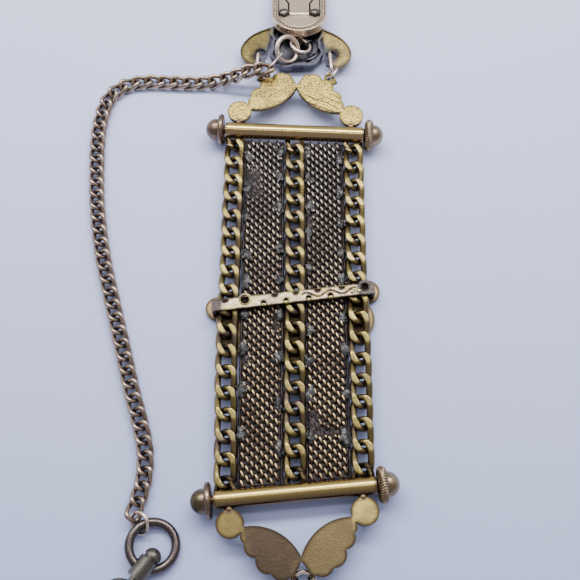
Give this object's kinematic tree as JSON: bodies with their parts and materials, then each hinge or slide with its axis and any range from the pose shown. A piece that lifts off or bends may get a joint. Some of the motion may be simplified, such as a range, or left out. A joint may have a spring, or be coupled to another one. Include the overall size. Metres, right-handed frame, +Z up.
{
  "type": "watch fob with clip and safety chain",
  "caption": "Gilt brass watch fob, back up: mesh and curb chain strap between ball-ended bars with winged plates, a slide, an ornament, a hinged clip and a safety chain with a swivel.",
  "frame": {"origin": "middle of the bounding box in plan, on the surface that the fob lies on (z = 0)", "axes": "+Y along the strap towards the clip, +Z up out of the backs of the pieces, +X to the right seen from above, away from the safety chain"},
  "size_m": [0.0534, 0.1262, 0.0057],
  "materials": {
    "pale_brass": "speckled satin, worn",
    "olive_brass": "tarnished satin",
    "rose_finial": "worn, semi-gloss",
    "rope_finial": "worn, dark grooves",
    "strap_link_brass": "filed flats, dark recesses",
    "mesh_brass": "woven wire, dark recesses",
    "slide_cream": "satin, tool marks",
    "slide_brass": "satin",
    "ornament_brass": "satin rim, dark hollow",
    "ring_brown": "semi-gloss, browned",
    "wire_brown": "semi-gloss, browned",
    "clip_gold": "satin, bright edges",
    "tongue_gold": "satin",
    "small_link_brown": "semi-gloss, browned",
    "swivel_brown": "semi-gloss, browned",
    "hook_grey": "dull, tarnished"
  },
  "bodies": {
    "fob": {"upper_bar": "pale_brass", "lower_bar": "olive_brass", "upper_left_finial": "rose_finial", "lower_left_finial": "rose_finial", "upper_right_finial": "rope_finial", "lower_right_finial": "rope_finial", "left_chain": "strap_link_brass", "middle_chain": "strap_link_brass", "right_chain": "strap_link_brass", "left_mesh": "mesh_brass", "right_mesh": "mesh_brass", "ornament": "ornament_brass", "left_plate_ring": "ring_brown", "right_plate_ring": "ring_brown", "left_wing_ring": "wire_brown", "right_wing_ring": "wire_brown", "clip_plate": "clip_gold", "clip_ring": "ring_brown", "chain_ring": "ring_brown", "small_ring": "wire_brown", "safety_chain": "small_link_brown", "swivel_link": "wire_brown", "swivel_ring": "swivel_brown", "swivel_hook": "hook_grey", "bottom_ring": "ring_brown"},
    "tongue": {"clip_tongue": "tongue_gold"},
    "slide": {"slide_strip": "slide_cream", "slide_front": "slide_brass"}
  },
  "joints": [
    {"name": "clip_hinge", "type": "hinge", "parent": "fob", "child": "tongue", "pos_m": [0.01161, 0.0486, 0.00374], "axis": [1, 0, 0], "range_deg": [0, 35], "stiffness_Nm_per_rad": 0.002},
    {"name": "slide_travel", "type": "slide", "parent": "fob", "child": "slide", "axis": [0, 1, 0], "range_m": [-0.018, 0.022]}
  ]
}
